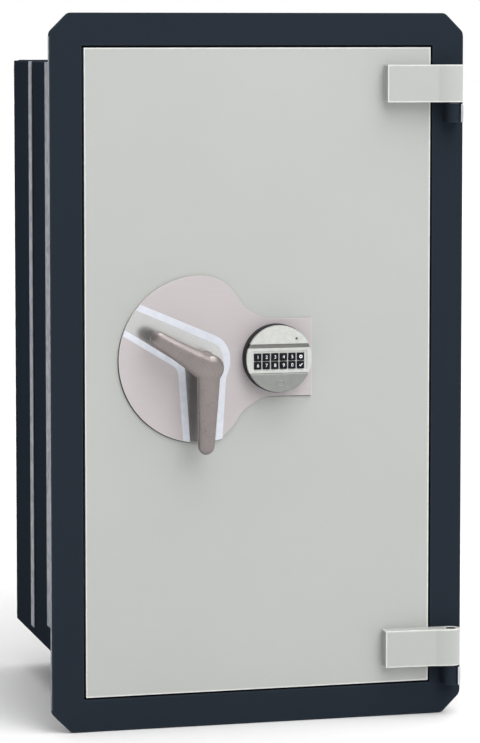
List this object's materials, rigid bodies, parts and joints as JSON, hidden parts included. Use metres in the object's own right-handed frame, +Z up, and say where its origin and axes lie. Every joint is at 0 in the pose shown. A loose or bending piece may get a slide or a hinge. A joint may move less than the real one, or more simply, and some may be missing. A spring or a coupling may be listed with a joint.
{
  "type": "wall safe",
  "caption": "Steel wall safe with a front flange, a flush hinged door on outside hinges, a two-armed handle driving side and end bolts, an electronic keypad and an inside shelf.",
  "frame": {"origin": "centre of the rear panel's outer face", "axes": "+X to the right as seen from the front, +Y into the wall, from the door towards the rear panel, +Z up"},
  "size_m": [0.476, 0.449, 0.8],
  "materials": {
    "dark_paint": "anthracite powder coat, satin",
    "light_paint": "light grey powder coat, satin",
    "galvanised": "galvanised sheet steel",
    "bright_steel": "ground bright steel",
    "bronze": "bearing bronze",
    "satin_nickel": "satin nickel plating",
    "escutcheon": "satin anodised sheet with printed white bands",
    "silver_plastic": "silver lacquered plastic",
    "grey_plastic": "satin grey lacquered plastic",
    "black_plastic": "matt black plastic",
    "seal": "matt black seal strip"
  },
  "bodies": {
    "case": {"door_frame": "dark_paint", "left_wall": "dark_paint", "right_wall": "dark_paint", "roof_panel": "dark_paint", "floor_panel": "dark_paint", "rear_panel": "dark_paint", "rebate_seal": "seal", "anchor_rib_left_front": "galvanised", "anchor_rib_right_front": "galvanised", "anchor_rib_left_rear": "galvanised", "anchor_rib_right_rear": "galvanised", "shelf": "dark_paint", "shelf_rail_left": "galvanised", "shelf_rail_right": "galvanised", "hinge_lug_lower": "dark_paint", "hinge_washer_lower": "black_plastic", "hinge_pin_lower": "bright_steel", "hinge_lug_upper": "dark_paint", "hinge_washer_upper": "black_plastic", "hinge_pin_upper": "bright_steel"},
    "door": {"door_plate": "light_paint", "hinge_arm_lower": "light_paint", "hinge_arm_upper": "light_paint", "escutcheon_plate": "escutcheon", "spindle_bush": "bronze", "bolt_casing": "light_paint", "casing_cover": "light_paint", "dead_bolt_lower": "bright_steel", "dead_bolt_upper": "bright_steel", "lock_case": "galvanised", "keypad_base": "black_plastic", "keypad_cap": "silver_plastic", "keypad_bezel": "silver_plastic", "keypad_lamp": "black_plastic", "battery": "galvanised"},
    "handle_set": {"handle": "satin_nickel", "handle_spindle": "bright_steel", "drive_pinion": "bright_steel"},
    "side_bolt_set": {"side_bolt_bar": "galvanised", "side_bolt_lower": "bright_steel", "side_bolt_middle": "bright_steel", "side_bolt_upper": "bright_steel"},
    "top_bolt_set": {"top_bolt_rod": "galvanised", "top_bolt": "bright_steel"},
    "bottom_bolt_set": {"bottom_bolt_rod": "galvanised", "bottom_bolt": "bright_steel"},
    "lock_bolt_set": {"lock_bolt": "bronze"},
    "battery_cover_set": {"battery_cover": "grey_plastic"},
    "key_1_set": {"key_1": "black_plastic"},
    "key_2_set": {"key_2": "black_plastic"},
    "key_3_set": {"key_3": "black_plastic"},
    "key_4_set": {"key_4": "black_plastic"},
    "key_5_set": {"key_5": "black_plastic"},
    "key_enter_set": {"key_enter": "black_plastic"},
    "key_6_set": {"key_6": "black_plastic"},
    "key_7_set": {"key_7": "black_plastic"},
    "key_8_set": {"key_8": "black_plastic"},
    "key_9_set": {"key_9": "black_plastic"},
    "key_0_set": {"key_0": "black_plastic"},
    "key_clear_set": {"key_clear": "black_plastic"}
  },
  "joints": [
    {"name": "door_swing", "type": "hinge", "parent": "case", "child": "door", "pos_m": [0.223, -0.4115, 0], "axis": [0, 0, 1], "range_deg": [0, 110]},
    {"name": "handle_turn", "type": "hinge", "parent": "door", "child": "handle_set", "pos_m": [-0.0685, -0.4, 0.015], "axis": [0, 1, 0], "range_deg": [0, 90]},
    {"name": "side_bolts_throw", "type": "slide", "parent": "door", "child": "side_bolt_set", "axis": [-1, 0, 0], "range_m": [0, 0.022]},
    {"name": "top_bolt_throw", "type": "slide", "parent": "door", "child": "top_bolt_set", "axis": [0, 0, 1], "range_m": [0, 0.022]},
    {"name": "bottom_bolt_throw", "type": "slide", "parent": "door", "child": "bottom_bolt_set", "axis": [0, 0, -1], "range_m": [0, 0.022]},
    {"name": "lock_bolt_slide", "type": "slide", "parent": "door", "child": "lock_bolt_set", "axis": [-1, 0, 0], "range_m": [0, 0.0065]},
    {"name": "battery_cover_slide", "type": "slide", "parent": "door", "child": "battery_cover_set", "axis": [0, 0, -1], "range_m": [0, 0.012]},
    {"name": "key_1_press", "type": "slide", "parent": "door", "child": "key_1_set", "axis": [0, 1, 0], "range_m": [0, 0.001], "stiffness_N_per_m": 400, "springref_m": -0.0005},
    {"name": "key_2_press", "type": "slide", "parent": "door", "child": "key_2_set", "axis": [0, 1, 0], "range_m": [0, 0.001], "stiffness_N_per_m": 400, "springref_m": -0.0005},
    {"name": "key_3_press", "type": "slide", "parent": "door", "child": "key_3_set", "axis": [0, 1, 0], "range_m": [0, 0.001], "stiffness_N_per_m": 400, "springref_m": -0.0005},
    {"name": "key_4_press", "type": "slide", "parent": "door", "child": "key_4_set", "axis": [0, 1, 0], "range_m": [0, 0.001], "stiffness_N_per_m": 400, "springref_m": -0.0005},
    {"name": "key_5_press", "type": "slide", "parent": "door", "child": "key_5_set", "axis": [0, 1, 0], "range_m": [0, 0.001], "stiffness_N_per_m": 400, "springref_m": -0.0005},
    {"name": "key_enter_press", "type": "slide", "parent": "door", "child": "key_enter_set", "axis": [0, 1, 0], "range_m": [0, 0.001], "stiffness_N_per_m": 400, "springref_m": -0.0005},
    {"name": "key_6_press", "type": "slide", "parent": "door", "child": "key_6_set", "axis": [0, 1, 0], "range_m": [0, 0.001], "stiffness_N_per_m": 400, "springref_m": -0.0005},
    {"name": "key_7_press", "type": "slide", "parent": "door", "child": "key_7_set", "axis": [0, 1, 0], "range_m": [0, 0.001], "stiffness_N_per_m": 400, "springref_m": -0.0005},
    {"name": "key_8_press", "type": "slide", "parent": "door", "child": "key_8_set", "axis": [0, 1, 0], "range_m": [0, 0.001], "stiffness_N_per_m": 400, "springref_m": -0.0005},
    {"name": "key_9_press", "type": "slide", "parent": "door", "child": "key_9_set", "axis": [0, 1, 0], "range_m": [0, 0.001], "stiffness_N_per_m": 400, "springref_m": -0.0005},
    {"name": "key_0_press", "type": "slide", "parent": "door", "child": "key_0_set", "axis": [0, 1, 0], "range_m": [0, 0.001], "stiffness_N_per_m": 400, "springref_m": -0.0005},
    {"name": "key_clear_press", "type": "slide", "parent": "door", "child": "key_clear_set", "axis": [0, 1, 0], "range_m": [0, 0.001], "stiffness_N_per_m": 400, "springref_m": -0.0005}
  ],
  "couplings": [
    {"joint": "side_bolts_throw", "follows": "handle_turn", "m_per_rad": 0.014},
    {"joint": "top_bolt_throw", "follows": "handle_turn", "m_per_rad": 0.014},
    {"joint": "bottom_bolt_throw", "follows": "handle_turn", "m_per_rad": 0.014}
  ]
}
